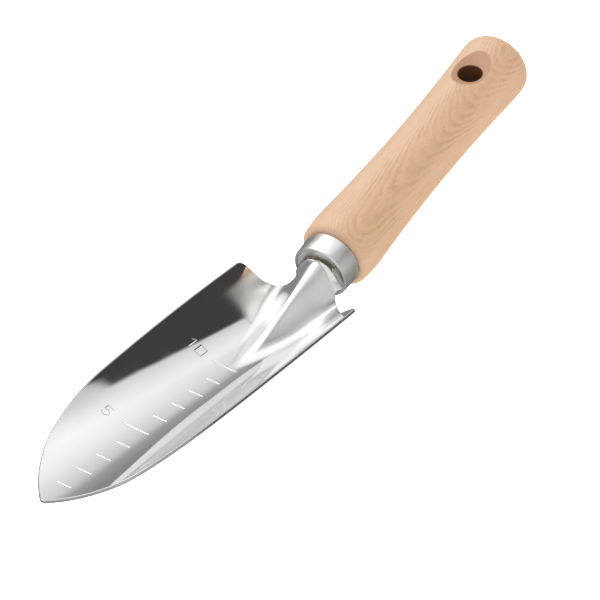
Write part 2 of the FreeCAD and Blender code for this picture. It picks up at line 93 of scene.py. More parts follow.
# stamped depth scale
SCALE_PITCH, TICK_COUNT, LONG_TICK_EVERY = 10.0, 10, 5
TICK_RIGHT, TICK_SHORT, TICK_LONG = -2.6, 2.4, 7.0
STROKE_HALF_WIDTH, STROKE_DEPTH = 0.24, 0.07
BACK_RELIEF = 0.3
DIGIT_Y, DIGIT_HEIGHT, DIGIT_WIDTH, DIGIT_GAP = 12.4, 4.2, 2.3, 0.805

# spacing of the blade's mesh: millimetres along it, and shares of the half width across it
NOSE_RUN, NOSE_FADE = 6.0, 8.0
NOSE_SPACING, PAN_SPACING, NECK_SPACING = 0.3, 0.8, 0.25
BEND_START, BEND_END, BEND_SPACING = 4.6, 1.8, 0.055
LIP_REACH, LIP_SPACING = 3.5, 0.1
STROKE_MARGIN, STROKE_SPACING = 0.42, 0.085
CREST_SHARE, CREST_SPACING, FLANK_COLUMNS = 0.16, 0.0125, 34
FIGURE_START, FIGURE_END, FIGURE_SPACING = 0.40, 0.73, 0.006
TICK_HALF_WIDTHS, TICK_MARGINS = (22.6, 21.2), (-0.3, -0.1, 0.1, 0.3)
ROW_GAP, COLUMN_GAP, SAME_PLACE = 0.05, 0.003, 1e-6
TANG_FINE_END, TANG_FINE_ROWS, TANG_ROWS = 3.0, 21, 24

# where the press has dulled the polish: on the rib and beside the neck
DULL_DROP, DULL_RUN, DULL_START = 9.0, 10.0, -34.0
DULL_HALF_WIDTH, DULL_SIDE_RUN = 20.5, 2.5

# beech: growth rings round a pith under the face, a paler side that is partly painted sheen, and the cut
# faces of the hang hole with painted shade
WOOD_FACE_ANGLE = -35.0
PITH_DISTANCE, PITH_LEAN = 45.0, -0.09
RING_WIDTH, RING_SWAY, RING_WOBBLE = 0.6, 1.6, 0.55
WOOD_PINK = (0.62, 0.39, 0.25, 1)
WOOD_TAN = (0.57, 0.365, 0.215, 1)
# paler side of the handle: partly the wood's own quarter-sawn tone, partly painted sheen
WOOD_PALE_AND_SHEEN = (0.64, 0.43, 0.285, 1)
WOOD_LATE = (0.38, 0.21, 0.10, 1)
WOOD_FLECK = (0.28, 0.14, 0.06, 1)
# cut faces: the countersink colour is darker end-grain tone plus painted shade; the bore colour is
# painted shade inside the hang hole
WOOD_CUT_AND_SHADE = (0.42, 0.22, 0.13, 1)
WOOD_BORE_SHADE = (0.13, 0.05, 0.016, 1)
HOLE_RADIUS, CONE_SPREAD, CONE_FOOT = 4.4, 1.732, 10.0

# studio: brightness of each side, as (share of the way from GLOW_LOW to GLOW_HIGH, level)
GLOW_LOW, GLOW_HIGH = -30.0, 60.0
FAR_GLOW = ((0.0, 0.25), (0.33, 0.3), (0.42, 0.42), (0.48, 0.75), (0.56, 0.95), (0.64, 1.2), (0.9, 1.35))
REAR_GLOW = ((0.0, 0.5), (0.2, 0.25), (0.36, 0.3), (0.48, 0.75), (0.56, 0.95), (0.64, 1.2), (0.9, 1.3))
NEAR_GLOW = ((0.0, 0.4), (0.2, 0.45), (0.33, 0.65), (0.7, 0.6), (0.85, 0.6), (1.0, 0.9))
RIB_GLOW = ((0.0, 0.4), (0.33, 0.75), (0.5, 0.75), (0.7, 0.5), (1.0, 0.9))
LEFT_GLOW = ((0.0, 0.45), (0.33, 0.55), (0.45, 0.9), (0.85, 1.0), (1.0, 1.0))
PANEL_DIP_AZIMUTH, PANEL_DIP_ELEVATION = 57.7, 17.9
PANEL_RISE, PANEL_FALL = 0.45, -0.9
PANEL_COLOR = (0.06, 0.058, 0.055, 1)
FLOOR_REACH, FLOOR_GAP = 6.0, 0.0002
KEY_AZIMUTH, KEY_ELEVATION = 150.0, 55.0
KEY_DISTANCE, KEY_SIZE, KEY_WATTS = 1.4, 1.0, 6.0

# camera, aimed at a place given in millimetres from the ferrule mouth
CAMERA_AZIMUTH, CAMERA_ELEVATION, CAMERA_ROLL = -53.24, 45.90, -5.84
CAMERA_DISTANCE, CAMERA_LENS = 0.876, 155.0
CAMERA_AIM = (-9.58, 2.41, -5.95)


# ---------------------------------------------------------------- pressed sheet


def smooth_step(value):
    value = np.clip(value, 0.0, 1.0)
    return value * value * (3 - 2 * value)


def blended_max(first, second, width):
    """The higher of two heights, with the corner between them filled."""
    overlap = np.maximum(width - np.abs(first - second), 0.0)
    return np.maximum(first, second) + overlap**2 / (4 * width)


def pan_height(x, y):
    """Hollow pan: a shallow round floor between two straight walls, climbing to the tip."""
    run = PAN_X - x
    curve = HOLLOW_CURVE - HOLLOW_EASING * smooth_step((EASING_START - x) / EASING_RUN)
    foot = WALL_FOOT + WALL_SPREAD * (WALL_X - x)
    hollow = blended_max(curve * y**2 / 2, WALL_SLOPE * (np.abs(y) - foot), WALL_BLEND)
    return PAN_HEIGHT + PAN_SLOPE * run + PAN_BOW * run**2 + hollow


def rib_height(x, y):
    """Raised rib: a narrow ridge that rounds into the neck and then drops to the tang."""
    tang = smooth_step((x - TANG_STEP_START) / (TANG_STEP_END - TANG_STEP_START))
    crest = CREST_HEIGHT + CREST_SLOPE * x
    crest = crest + (TANG_HEIGHT - crest) * tang
    away = np.abs(y)
    lean = math.atan(RIB_WALL)
    round_half = CREST_RADIUS * math.sin(lean)
    rounded = CREST_RADIUS - np.sqrt(np.maximum(CREST_RADIUS**2 - away**2, 0.0))
    straight = CREST_RADIUS * (1 - math.cos(lean)) + RIB_WALL * (away - round_half)
    ridge = np.where(away < round_half, rounded, straight)
    arch = NECK_WALL * (np.hypot(away, NECK_ROUNDING) - NECK_ROUNDING)
    neck = smooth_step((x - NECK_BLEND_START) / (NECK_BLEND_END - NECK_BLEND_START))
    return crest - ridge - (arch - ridge) * neck


def stroke_list():
    """Centre lines of the ticks and of the figures 5 and 10, in plan."""
    pitch = SCALE_PITCH / math.hypot(1.0, PAN_SLOPE)
    strokes = []
    for index in range(TICK_COUNT):
        x = PAN_X - index * pitch
        left = TICK_LONG if index % LONG_TICK_EVERY == 0 else TICK_SHORT
        strokes.append(((x, TICK_RIGHT), (x, left)))
    tall = DIGIT_HEIGHT / math.hypot(1.0, PAN_SLOPE)
    figures = {
        "1": [[(0.15, 0.78), (0.5, 1.0), (0.5, 0.0)]],
        "0": [[(0.0, 0.0), (1.0, 0.0), (1.0, 1.0), (0.0, 1.0), (0.0, 0.0)]],
        "5": [[(0.95, 1.0), (0.1, 1.0), (0.05, 0.55)], five_bowl()],
    }
    middle = tall / 2
    deep_x = PAN_X - middle
    half_x = PAN_X - LONG_TICK_EVERY * pitch - middle
    for name, x, y in (
        ("1", deep_x, DIGIT_Y + DIGIT_GAP / 2 + DIGIT_WIDTH),
        ("0", deep_x, DIGIT_Y - DIGIT_GAP / 2),
        ("5", half_x, DIGIT_Y + DIGIT_WIDTH / 2),
    ):
        for line in figures[name]:
            points = [(x + up * tall, y - across * DIGIT_WIDTH) for across, up in line]
            strokes += list(zip(points, points[1:]))
    return strokes


def five_bowl():
    """Bowl of the figure 5, as points on a circle arc."""
    angles = np.radians(np.linspace(130, -150, 15))
    return [(0.5 + 0.5 * math.cos(a), 0.3 + 0.3 * math.sin(a)) for a in angles]


STROKES = stroke_list()


def stamp_depth(x, y):
    """Depth of the stamped strokes at points of the plan."""
    best = np.full(np.shape(x), 1e6)
    for (x0, y0), (x1, y1) in STROKES:
        run, side = x1 - x0, y1 - y0
        share = ((x - x0) * run + (y - y0) * side) / (run**2 + side**2)
        share = np.clip(share, 0.0, 1.0)
        best = np.minimum(best, np.hypot(x - x0 - share * run, y - y0 - share * side))
    return STROKE_DEPTH * (1 - smooth_step(best / STROKE_HALF_WIDTH))


def sheet_point(x, y, stamping):
    """Upper face of the sheet, with the neck's end flared into a lip."""
    widening = smooth_step((x - VALLEY_START) / (VALLEY_END - VALLEY_START))
    blend = VALLEY_BLEND + (NECK_VALLEY_BLEND - VALLEY_BLEND) * widening
    height = blended_max(pan_height(x, y), rib_height(x, y), blend)
    height = height - stamp_depth(x, y) * stamping
    away = np.minimum(np.abs(y) / NECK_HALF_WIDTH, 1.0)
    depth = LIP_DEPTH * away**2 + LIP_LEAST_DEPTH
    opening = np.clip((x - LIP_END + depth) / depth, 0.0, 1.0) ** LIP_CURL
    closing = 1 - smooth_step((x - LIP_END) / (TANG_STEP_END - LIP_END))
    flare = LIP_FLARE * opening * closing * smooth_step(np.abs(y) / LIP_FULL_Y)
    return np.stack([x, y + np.sign(y) * flare, height], axis=-1)


def sheet_frame(x, y, stamping):
    """Points of the upper face and their unit normals."""
    step = NORMAL_STEP
    along = sheet_point(x + step, y, stamping) - sheet_point(x - step, y, stamping)
    across = sheet_point(x, y + step, stamping) - sheet_point(x, y - step, stamping)
    normal = np.cross(along, across)
    normal /= np.linalg.norm(normal, axis=-1, keepdims=True)
    return sheet_point(x, y, stamping), normal


def arc_towards_tip(start, radius, first, last, count):
    """Points of an outline arc from its start towards the tip."""
    angles = np.linspace(first, last, count)
    x = start[0] - radius * (np.sin(angles) - math.sin(first))
    y = start[1] - radius * (math.cos(first) - np.cos(angles))
    return list(zip(x, y))


def hollow_bend(centre, radius, first, last):
    """Points of an inside bend of the outline, as its direction turns between two angles."""
    turns = np.linspace(first, last, BEND_POINTS)
    return [(centre[0] - radius * math.sin(t), centre[1] - radius * math.cos(t)) for t in turns]


def half_outline():
    """Half of the sheet's outline from the tip to the end of the neck, ordered along X."""
    corner = []
    for turn in np.linspace(0.0, BACK_ANGLE, CORNER_POINTS):
        drop = CORNER_RADIUS * (1 - math.cos(turn))
        corner.append((CORNER_X + CORNER_RADIUS * math.sin(turn), SIDE_START[1] - drop))
    back = hollow_bend(BEND_CENTRE, BEND_RADIUS, BACK_ANGLE, SLANT_ANGLE)
    fillet_centre = (NECK_X, NECK_HALF_WIDTH + NECK_FILLET)
    neck = hollow_bend(fillet_centre, NECK_FILLET, SLANT_ANGLE, 0.0)
    side = [SIDE_START]
    for radius, first, last in SIDE_ARCS:
        side += arc_towards_tip(side[-1], radius, first, last, SIDE_POINTS)[1:]
    nose_start = SIDE_ARCS[-1][-1]
    reach = NOSE_RADIUS - TIP_RADIUS
    nose_end = math.acos((NOSE_RADIUS * math.cos(nose_start) - side[-1][1]) / reach)
    side += arc_towards_tip(side[-1], NOSE_RADIUS, nose_start, nose_end, NOSE_POINTS)[1:]
    return side[::-1] + corner + back + neck + [(NECK_END_X, NECK_HALF_WIDTH)], nose_end


def inset(points, distance):
    """Outline moved inwards, so that the rounded edge can stand outside it."""
    points = np.array(points)
    direction = np.gradient(points, axis=0)
    direction /= np.linalg.norm(direction, axis=1, keepdims=True)
    return points + np.stack([direction[:, 1], -direction[:, 0]], axis=1) * distance


def merged(values, gap):
    """Sorted values with none closer than a gap to the last one kept."""
    kept = []
    for value in sorted(values):
        if not kept or value - kept[-1] > gap:
            kept.append(value)
    return np.array(kept)


def station_list(first_x):
    """Rows of the blade mesh, close together at the strokes, the corners and the neck."""
    rows = [NECK_END_X]
    for start, end, spacing in (
        (first_x, first_x + NOSE_RUN, NOSE_SPACING),
        (first_x + NOSE_RUN, SIDE_START[0], PAN_SPACING),
        (SIDE_START[0], NECK_X, NECK_SPACING),
        (BEND_CENTRE[0] - BEND_START, BEND_CENTRE[0] - BEND_END, BEND_SPACING),
        (NECK_END_X - LIP_REACH, NECK_END_X, LIP_SPACING),
    ):
        rows += list(np.arange(start, end, spacing))
    for (x0, _), (x1, _) in STROKES:
        low, high = min(x0, x1) - STROKE_MARGIN, max(x0, x1) + STROKE_MARGIN
        rows += list(np.arange(low, high, STROKE_SPACING))
    rows = merged(rows, ROW_GAP)
    rows[-1] = NECK_END_X
    return rows


def column_list():
    """Columns of the blade mesh as shares of the half width, finer at the crest and figures."""
    half = list(np.arange(0.0, CREST_SHARE, CREST_SPACING))
    half += list(np.linspace(CREST_SHARE, 1.0, FLANK_COLUMNS))
    half.append(TANG_SHARE)
    columns = [-value for value in half] + half
    columns += list(np.arange(FIGURE_START, FIGURE_END, FIGURE_SPACING))
    for end in (TICK_RIGHT, TICK_SHORT, TICK_LONG):
        for half_width in TICK_HALF_WIDTHS:
            columns += [(end + margin) / half_width for margin in TICK_MARGINS]
    columns = merged(columns, COLUMN_GAP)
    for side in (-1, 1):
        columns[np.argmin(np.abs(columns - side * TANG_SHARE))] = side * TANG_SHARE
    return columns


def blade_plan():
    """Plan position of every mesh point, and which column belongs to the tang."""
    outline, nose_end = half_outline()
    edge = inset(outline, EDGE_INSET)
    rows = station_list(edge[0, 0])
    columns = column_list()
    width = np.interp(rows, edge[:, 0], edge[:, 1])
    bulge = TIP_RADIUS * (1 - math.sin(nose_end))
    fade = np.clip(1 - (rows - rows[0]) / NOSE_FADE, 0.0, 1.0) ** 2
    x = rows[:, None] - (bulge * fade)[:, None] * (1 - columns[None, :] ** 2)
    y = width[:, None] * columns[None, :]
    inside = np.nonzero(np.abs(columns) <= TANG_SHARE + SAME_PLACE)[0]
    fine_rows = np.linspace(NECK_END_X, TANG_FINE_END, TANG_FINE_ROWS)[1:]
    tang_rows = np.concatenate([fine_rows, np.linspace(TANG_FINE_END, TANG_END_X, TANG_ROWS)[1:]])
    tang_x = np.repeat(tang_rows[:, None], len(columns), axis=1)
    across = columns / TANG_SHARE * (TANG_HALF_WIDTH - EDGE_ROUNDING)
    tang_y = np.repeat(across[None, :], len(tang_rows), axis=0)
    return np.vstack([x, tang_x]), np.vstack([y, tang_y]), len(rows), (inside[0], inside[-1])


def grid_faces(number, rows, columns):
    """Quads of a grid whose corners are looked up in a table of point numbers."""
    faces = []
    for i in range(rows[0], rows[1]):
        for j in range(columns[0], columns[1]):
            faces.append((number[i, j], number[i + 1, j], number[i + 1, j + 1], number[i, j + 1]))
    return faces


def border_loop(number, neck_rows, tang):
    """Point numbers once round the sheet, anticlockwise from above."""
    last_row, last_column = number.shape[0] - 1, number.shape[1] - 1
    loop = [number[0, j] for j in range(last_column, -1, -1)]
    loop += [number[i, 0] for i in range(1, neck_rows)]
    loop += [number[neck_rows - 1, j] for j in range(1, tang[0] + 1)]
    loop += [number[i, tang[0]] for i in range(neck_rows, last_row + 1)]
    loop += [number[last_row, j] for j in range(tang[0] + 1, tang[1] + 1)]
    loop += [number[i, tang[1]] for i in range(last_row - 1, neck_rows - 2, -1)]
    loop += [number[neck_rows - 1, j] for j in range(tang[1] + 1, last_column + 1)]
    loop += [number[i, last_column] for i in range(neck_rows - 2, 0, -1)]
    return np.array(loop)


def rounded_rim(top, normal, first_number):
    """Points, normals and numbered rings that turn round the cut edge to the lower face."""
    count = len(top)
    direction = np.roll(top, -1, axis=0) - np.roll(top, 1, axis=0)
    outward = np.cross(direction, normal)
    outward /= np.linalg.norm(outward, axis=1, keepdims=True)
    angles = np.radians([22.5, 45.0, 67.5, 90.0])
    profile = [(angle, 0.0) for angle in angles]
    profile += [(math.pi - angle, SHEET_THICKNESS - 2 * EDGE_ROUNDING) for angle in angles[::-1]]
    points, normals, rings = [], [], []
    for angle, drop in profile:
        facing = outward * math.sin(angle) + normal * math.cos(angle)
        points.append(top + facing * EDGE_ROUNDING - normal * (EDGE_ROUNDING + drop))
        normals.append(facing)
        rings.append(first_number + len(rings) * count + np.arange(count))
    return points, normals, rings


def worked_share(x, y):
    """How far the press has dulled the polish at points of the plan, from 0 to 1."""
    rib = smooth_step((rib_height(x, y) - pan_height(x, y) + DULL_DROP) / DULL_RUN)
    along = smooth_step((x - DULL_START) / DULL_RUN)
    across = smooth_step((DULL_HALF_WIDTH - np.abs(y)) / DULL_SIDE_RUN)
    return np.maximum(rib, along * across)


def make_blade():
    """Closed sheet with rounded edges: pan, rib, neck, lip and tang in one mesh."""
    x, y, neck_rows, tang = blade_plan()
    top, top_normal = sheet_frame(x, y, 1.0)
    back, back_normal = sheet_frame(x, y, BACK_RELIEF)
    count = x.size
    number = np.arange(count).reshape(x.shape)
    points = [top.reshape(-1, 3), (back - back_normal * SHEET_THICKNESS).reshape(-1, 3)]
    normals = [top_normal.reshape(-1, 3), -back_normal.reshape(-1, 3)]
    pan_block = ((0, neck_rows - 1), (0, x.shape[1] - 1))
    tang_block = ((neck_rows - 1, x.shape[0] - 1), tang)
    faces = []
    for rows, columns in (pan_block, tang_block):
        upper = grid_faces(number, rows, columns)
        faces += upper
        faces += [tuple(corner + count for corner in face[::-1]) for face in upper]
    plain_faces = len(faces)

    loop = border_loop(number, neck_rows, tang)
    rim = rounded_rim(points[0][loop], normals[0][loop], 2 * count)
    faces += ring_faces([loop] + rim[2] + [loop + count])
    points = np.vstack(points + rim[0])
    mesh, used = new_mesh("blade_sheet", points, faces, np.vstack(normals + rim[1]))
    worked = mesh.attributes.new("worked", "FLOAT", "POINT")
    worked.data.foreach_set("value", worked_share(*points[used, :2].T))
    blade = new_piece("blade_sheet", mesh, "blade")
    blade.data.materials.append(polished_steel())
    blade.data.materials.append(cut_edge_steel())
    material_numbers = np.zeros(len(mesh.polygons), dtype=np.int32)
    material_numbers[plain_faces:] = 1
    mesh.polygons.foreach_set("material_index", material_numbers)
    return blade


# ---------------------------------------------------------------- mesh helpers


def ring_faces(rings):
    """Quads between neighbouring closed rings of point numbers."""
    faces = []
    for above, below in zip(rings, rings[1:]):
        for k in range(len(above)):
            after = (k + 1) % len(above)
            faces.append((above[k], below[k], below[after], above[after]))
    return faces


def new_mesh(name, points, faces, normals=None):
    """Smooth mesh in the row frame from points in millimetres, and which points it uses."""
    placed = np.array(points) * MM + np.array([MOUTH_X, 0.0, 0.0])
    mesh = bpy.data.meshes.new(name)
    used = np.unique(np.concatenate([np.array(face) for face in faces]))
    renumber = np.full(len(placed), -1)
    renumber[used] = np.arange(len(used))
    faces = [tuple(int(renumber[corner]) for corner in face) for face in faces]
    mesh.from_pydata(placed[used].tolist(), [], faces)
    mesh.shade_smooth()
    if normals is not None:
        mesh.normals_split_custom_set_from_vertices(np.array(normals)[used].tolist())
    mesh.validate()
    return mesh, used


def new_piece(name, mesh, node):
    """Object that rides on the part and stands for a CAD node, which it hides."""
    piece = bpy.data.objects.new(name, mesh)
    bpy.context.scene.collection.objects.link(piece)
    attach(piece, "root")
    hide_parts(node)
    return piece


def lathe(name, profile, segments):
    """Mesh turned about the X axis from a closed (x, radius) profile."""
    turns = np.linspace(0, 2 * math.pi, segments, endpoint=False)
    points = []
    for x, radius in profile:
        points += [(x, radius * math.sin(a), radius * math.cos(a)) for a in turns]
    rings = list(np.arange(len(points)).reshape(len(profile), segments))
    faces = [face[::-1] for face in ring_faces(rings + rings[:1])]
    return new_mesh(name, points, faces)[0]


def rounded(corners, steps=5):
    """Closed profile with each (x, radius, rounding) corner replaced by an arc."""
    profile = []
    count = len(corners)
    for i, (x, r, rounding) in enumerate(corners):
        here = np.array([x, r])
        before = np.array(corners[i - 1][:2]) - here
        after = np.array(corners[(i + 1) % count][:2]) - here
        before /= np.linalg.norm(before)
        after /= np.linalg.norm(after)
        half = math.acos(np.clip(before @ after, -1, 1)) / 2
        reach = rounding / math.tan(half)
        centre = here + (before + after) / np.linalg.norm(before + after) * rounding / math.sin(half)
        first = here + before * reach - centre
        last = here + after * reach - centre
        for k in range(steps + 1):
            spoke = first * (1 - k / steps) + last * (k / steps)
            profile.append(tuple(centre + spoke / np.linalg.norm(spoke) * rounding))
    return profile


# ---------------------------------------------------------------- ferrule


def make_ferrule():
    """Spun collar with a rolled rim and a dished end that closes in around the tang."""
    corners = [
        (8.2, 10.75, 0.25),
        (0.0, 10.35, 0.55),
        (0.0, 9.6, 0.22),
        (0.45, 9.25, 0.2),
        (0.75, 6.1, 0.5),
        (2.6, 5.7, 0.2),
        (2.7, 6.6, 0.3),
        (1.75, 9.3, 0.4),
        (8.2, 9.75, 0.2),
    ]
    mesh = lathe("ferrule_collar", rounded(corners), 192)
    ferrule = new_piece("ferrule_collar", mesh, "ferrule")
    ferrule.data.materials.append(satin_steel())
    return ferrule


# ---------------------------------------------------------------- node graphs


class Graph:
    """Short hand for building one node tree."""

    def __init__(self, tree):
        self.tree = tree
        tree.nodes.clear()

    def add(self, kind, inputs=None, **settings):
        node = self.tree.nodes.new(kind)
        for name, value in settings.items():
            setattr(node, name, value)
        for key, value in (inputs or {}).items():
            self.feed(node.inputs[key], value)
        return node

    def feed(self, socket, value):
        if isinstance(value, bpy.types.NodeSocket):
            self.tree.links.new(value, socket)
        else:
            socket.default_value = value

    def math(self, operation, *values):
        node = self.add("ShaderNodeMath", operation=operation)
        for socket, value in zip(node.inputs, values):
            self.feed(socket, value)
        return node.outputs[0]

    def mix(self, factor, first, second):
        node = self.add("ShaderNodeMix", data_type="RGBA")
        self.feed(node.inputs[0], factor)
        self.feed(node.inputs[6], first)
        self.feed(node.inputs[7], second)
        return node.outputs[2]

    def hypotenuse(self, first, second):
        squares = [self.math("MULTIPLY", value, value) for value in (first, second)]
        return self.math("SQRT", self.math("ADD", *squares))

    def blend(self, value, low, high, out_low=0.0, out_high=1.0):
        """Smooth change of a number from one level to another."""
        node = self.add("ShaderNodeMapRange", interpolation_type="SMOOTHSTEP")
        for socket, number in zip(node.inputs, (value, low, high, out_low, out_high)):
            self.feed(socket, number)
        return node.outputs[0]

    def ramp(self, factor, stops):
        node = self.add("ShaderNodeValToRGB", {"Fac": factor})
        elements = node.color_ramp.elements
        while len(elements) < len(stops):
            elements.new(0.5)
        for element, (place, color) in zip(elements, stops):
            element.position = place
            element.color = color
        return node.outputs[0]

    def stretched(self, vector, scale, turn=(0, 0, 0)):
        inputs = {"Vector": vector, "Scale": scale, "Rotation": turn}
        return self.add("ShaderNodeMapping", inputs).outputs[0]

    def noise(self, vector, scale, detail=2.0, roughness=0.5):
        inputs = {"Vector": vector, "Scale": scale, "Detail": detail, "Roughness": roughness}
        return self.add("ShaderNodeTexNoise", inputs).outputs["Fac"]

    def parts(self, vector):
        return self.add("ShaderNodeSeparateXYZ", {0: vector}).outputs

    def bump(self, height, distance, strength=1.0, normal=None):
        inputs = {"Height": height, "Distance": distance, "Strength": strength}
        if normal is not None:
            inputs["Normal"] = normal
        return self.add("ShaderNodeBump", inputs).outputs[0]


def new_material(name):
    """Empty material with its graph and the object coordinates in millimetres."""
    material = bpy.data.materials.new(name)
    material.use_nodes = True
    graph = Graph(material.node_tree)
    place = graph.add("ShaderNodeTexCoord").outputs["Object"]
    return material, graph, graph.stretched(place, (1000.0, 1000.0, 1000.0))


def finish_material(graph, inputs):
    shader = graph.add("ShaderNodeBsdfPrincipled", inputs)
    graph.add("ShaderNodeOutputMaterial", {"Surface": shader.outputs[0]})


# ---------------------------------------------------------------- materials


def polished_steel():
    """Mirror polish with a faint ripple from the press and fine handling scratches."""
    material, graph, place = new_material("polished_steel")
    ripple = graph.noise(graph.stretched(place, (0.05, 0.09, 0.09)), 1.0, 1.0)
    scratches = graph.noise(graph.stretched(place, (0.25, 6.0, 6.0), (0, 0, 0.5)), 1.0, 3.0)
    smears = graph.noise(place, 0.09, 3.0)
    color = graph.mix(smears, (0.76, 0.76, 0.75, 1), (0.80, 0.80, 0.79, 1))
    worn = graph.blend(scratches, 0.55, 0.8)
    rough = graph.math("MULTIPLY_ADD", worn, 0.03, graph.blend(smears, 0.3, 0.8, 0.025, 0.06))
    worked = graph.add("ShaderNodeAttribute", attribute_name="worked").outputs["Fac"]
    rough = graph.math("MULTIPLY_ADD", worked, 0.2, rough)
    normal = graph.bump(ripple, 0.00002)
    normal = graph.bump(scratches, 0.0000006, 1.0, normal)
    inputs = {"Base Color": color, "Metallic": 1.0, "Roughness": rough, "Normal": normal}
    finish_material(graph, inputs)
    return material


def cut_edge_steel():
    """Trimmed edge of the sheet, greyer and rougher than the polished faces."""
    material, graph, place = new_material("cut_edge_steel")
    grind = graph.noise(graph.stretched(place, (3.0, 3.0, 0.6)), 1.0, 3.0)
    color = graph.mix(grind, (0.46, 0.46, 0.45, 1), (0.60, 0.60, 0.59, 1))
    rough = graph.blend(grind, 0.2, 0.8, 0.18, 0.34)
    normal = graph.bump(grind, 0.00001)
    inputs = {"Base Color": color, "Metallic": 1.0, "Roughness": rough, "Normal": normal}
    finish_material(graph, inputs)
    return material


def satin_steel():
    """Turned satin finish: fine rings round the axis and a soft sheen."""
    material, graph, place = new_material("satin_steel")
    x, y, z = graph.parts(place)[:3]
    station = graph.add("ShaderNodeCombineXYZ", {0: x, 1: graph.hypotenuse(y, z)}).outputs[0]
    rings = graph.noise(station, 7.0, 3.0, 0.6)
    clouds = graph.noise(place, 0.2, 3.0)
    color = graph.mix(clouds, (0.62, 0.615, 0.60, 1), (0.70, 0.695, 0.68, 1))
    color = graph.mix(graph.blend(rings, 0.3, 0.7, 0.0, 0.25), color, (0.52, 0.515, 0.50, 1))
    rough = graph.blend(clouds, 0.3, 0.7, 0.24, 0.32)
    normal = graph.bump(rings, 0.000008)
    inputs = {"Base Color": color, "Metallic": 1.0, "Roughness": rough, "Normal": normal}
    inputs["Anisotropic"] = 0.3
    finish_material(graph, inputs)
    return material


def cured_resin():
    """Yellowish glossy resin with small bubbles and dust."""
    material, graph, place = new_material("cured_resin")
    clouds = graph.noise(place, 0.5, 3.0)
    specks = graph.noise(place, 4.0, 2.0)
    color = graph.mix(clouds, (0.62, 0.52, 0.26, 1), (0.74, 0.66, 0.42, 1))
    color = graph.mix(graph.blend(specks, 0.62, 0.75), color, (0.35, 0.28, 0.15, 1))
    rough = graph.blend(clouds, 0.3, 0.7, 0.12, 0.25)
    normal = graph.bump(clouds, 0.0006)
    inputs = {"Base Color": color, "Roughness": rough, "Normal": normal, "Coat Weight": 0.5}
    finish_material(graph, inputs)
    return material


def growth_rings(graph, turned, sway):
    """Share of late wood, from rings round a pith that leans along the handle."""
    x, y, z = graph.parts(turned)[:3]
    wobble = graph.noise(graph.stretched(turned, (0.5, 1.1, 1.1)), 1.0, 3.0)
    radius = graph.hypotenuse(y, graph.math("ADD", z, PITH_DISTANCE))
    radius = graph.math("MULTIPLY_ADD", x, -PITH_LEAN, radius)
    radius = graph.math("MULTIPLY_ADD", sway, RING_SWAY, radius)
    radius = graph.math("MULTIPLY_ADD", wobble, RING_WOBBLE, radius)
    phase = graph.math("FRACT", graph.math("DIVIDE", radius, RING_WIDTH))
    rise = graph.blend(phase, 0.15, 0.85)
    fall = graph.blend(phase, 0.9, 1.0, 1.0, 0.0)
    late = graph.math("MULTIPLY", rise, fall)
    uneven = graph.noise(graph.stretched(turned, (0.06, 0.25, 0.25)), 1.0, 2.0)
    return graph.math("MULTIPLY", late, graph.blend(uneven, 0.3, 0.7, 0.15, 1.0))


def cut_faces_and_hole_shade(graph, place, color):
    """Darker wood on the countersinks, partly end-grain tone and partly painted shade, and darker still
    inside the hang hole, which is painted shade.
    """
    x, y, z = graph.parts(place)[:3]
    away = graph.hypotenuse(x, y)
    cone_centre = HOLE_RADIUS - CONE_SPREAD * CONE_FOOT
    cone = graph.math("MULTIPLY_ADD", graph.math("ABSOLUTE", z), CONE_SPREAD, cone_centre)
    off_cone = graph.math("ABSOLUTE", graph.math("SUBTRACT", away, cone))
    on_cone = graph.blend(off_cone, 0.2, 0.6, 1.0, 0.0)
    cut = graph.math("MULTIPLY", on_cone, graph.blend(x, -30.0, -20.0))
    # countersinks darkened: end-grain tone plus painted shade
    color = graph.mix(graph.math("MULTIPLY", cut, 0.75), color, WOOD_CUT_AND_SHADE)
    # painted shade inside the hang hole
    inside = graph.blend(away, HOLE_RADIUS + 0.1, HOLE_RADIUS + 0.4, 1.0, 0.0)
    return graph.mix(inside, color, WOOD_BORE_SHADE)


def beech():
    """Flat-sawn beech: nested growth rings, short ray flecks, pores and a satin oil finish, with a paler
    side that is partly painted sheen and painted shade in the hang hole.
    """
    material, graph, place = new_material("beech")
    turned = graph.stretched(place, (1, 1, 1), (math.radians(WOOD_FACE_ANGLE), 0, 0))
    sway = graph.noise(graph.stretched(turned, (0.022, 0.05, 0.05)), 1.0, 2.0)
    late = growth_rings(graph, turned, sway)
    flecks = graph.noise(graph.stretched(turned, (0.45, 3.4, 3.4)), 1.0, 2.0, 0.55)
    fleck = graph.blend(flecks, 0.60, 0.70)
    pores = graph.noise(graph.stretched(turned, (0.25, 6.0, 6.0)), 1.0, 2.0, 0.6)
    pore = graph.blend(pores, 0.58, 0.70)
    warmth = graph.noise(graph.stretched(turned, (0.02, 0.09, 0.09)), 1.0, 2.0)

    _, y, z = graph.parts(turned)[:3]
    side = graph.math("MULTIPLY_ADD", sway, 0.5, graph.math("ARCTAN2", y, z))
    color = graph.mix(graph.blend(warmth, 0.3, 0.7), WOOD_PINK, WOOD_TAN)
    # one side paler by its angle round the axis: partly the wood's own tone, partly painted sheen where
    # the light falls
    color = graph.mix(graph.blend(side, 0.62, 1.05), color, WOOD_PALE_AND_SHEEN)
    color = graph.mix(graph.math("MULTIPLY", late, 0.38), color, WOOD_LATE)
    color = graph.mix(graph.math("MULTIPLY", fleck, 0.3), color, WOOD_FLECK)
    color = graph.mix(graph.math("MULTIPLY", pore, 0.22), color, WOOD_FLECK)
    color = cut_faces_and_hole_shade(graph, place, color)

    rough = graph.blend(late, 0.0, 1.0, 0.42, 0.52)
    soft_edges = graph.add("ShaderNodeBevel", {"Radius": 0.0007}, samples=6).outputs[0]
    normal = graph.bump(pore, 0.00004, 0.5, soft_edges)
    inputs = {"Base Color": color, "Roughness": rough, "Normal": normal, "Specular IOR Level": 0.45}
    finish_material(graph, inputs)
    return material


